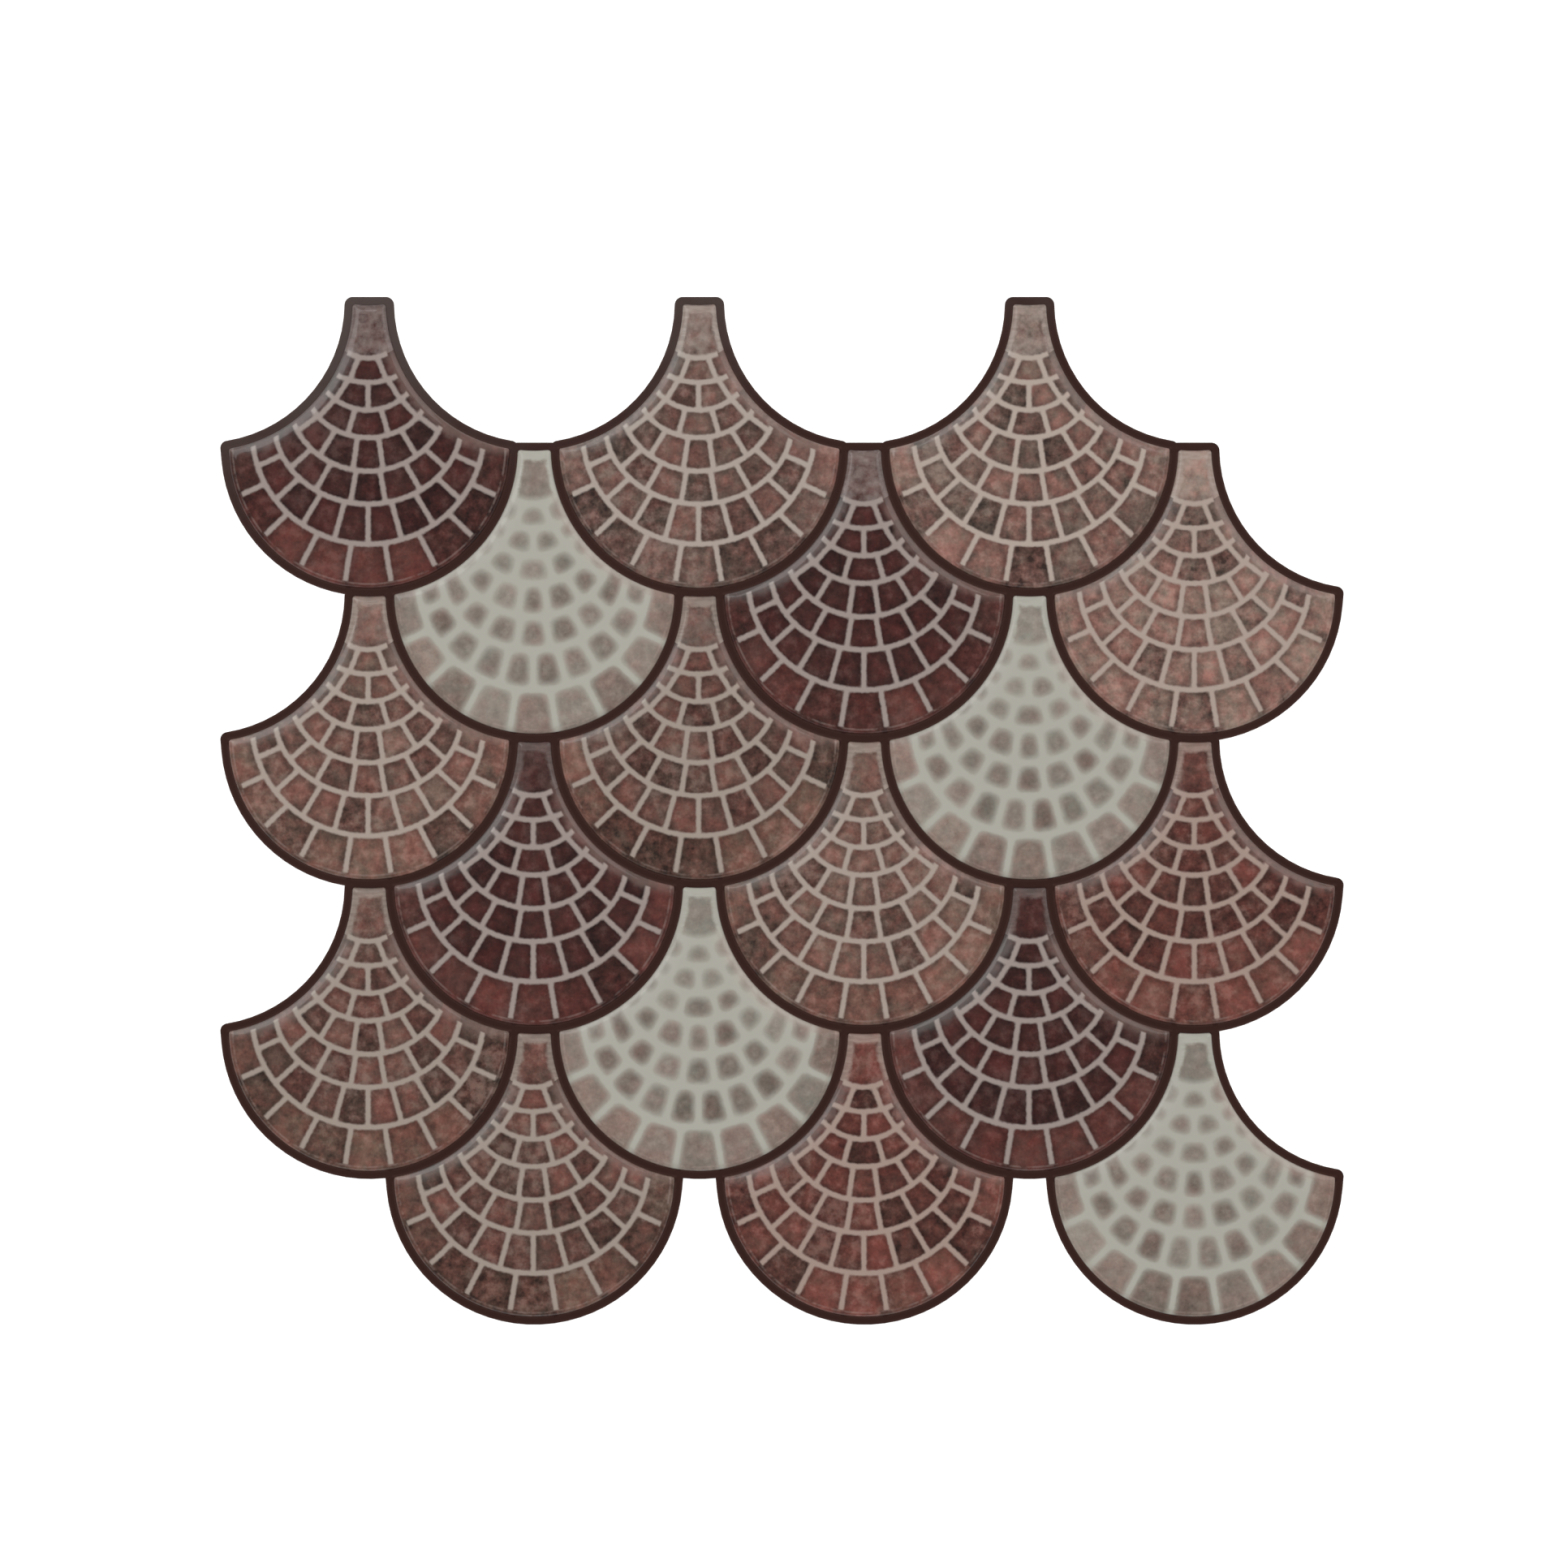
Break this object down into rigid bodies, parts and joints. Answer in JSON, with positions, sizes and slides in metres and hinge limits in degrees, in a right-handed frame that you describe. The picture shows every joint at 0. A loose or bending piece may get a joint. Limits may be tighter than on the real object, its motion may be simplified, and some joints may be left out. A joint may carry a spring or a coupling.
{
  "type": "self-adhesive mosaic tile",
  "caption": "Peel-and-stick wall tile sheet of glossy domed gel fish scales printed with a stone fan mosaic, its notched edges interlocking with the next sheet.",
  "frame": {"origin": "centre of the bounding box in X and Y, on the back face of the release liner", "axes": "+X along a row of scales to the right of the pattern, +Y up the pattern towards the necks, +Z out of the gel face"},
  "size_m": [0.3038, 0.278, 0.002],
  "materials": {
    "release_liner": "smooth white release paper",
    "printed_film": "glossy printed film",
    "gel_wine": "glossy gel over a wine mosaic print",
    "gel_grey": "glossy gel over a grey mosaic print",
    "gel_rose": "glossy gel over a rose mosaic print",
    "gel_brown": "glossy gel over a brown mosaic print",
    "gel_brick": "glossy gel over a brick mosaic print"
  },
  "bodies": {
    "root": {"release_liner": "release_liner", "printed_film": "printed_film", "gel_scale_row1_1": "gel_wine", "gel_scale_row1_2": "gel_brown", "gel_scale_row1_3": "gel_rose", "gel_scale_row2_1": "gel_grey", "gel_scale_row2_2": "gel_wine", "gel_scale_row2_3": "gel_rose", "gel_scale_row3_1": "gel_rose", "gel_scale_row3_2": "gel_brown", "gel_scale_row3_3": "gel_grey", "gel_scale_row4_1": "gel_wine", "gel_scale_row4_2": "gel_rose", "gel_scale_row4_3": "gel_brick", "gel_scale_row5_1": "gel_brown", "gel_scale_row5_2": "gel_grey", "gel_scale_row5_3": "gel_wine", "gel_scale_row6_1": "gel_brown", "gel_scale_row6_2": "gel_brick", "gel_scale_row6_3": "gel_grey"}
  },
  "joints": []
}
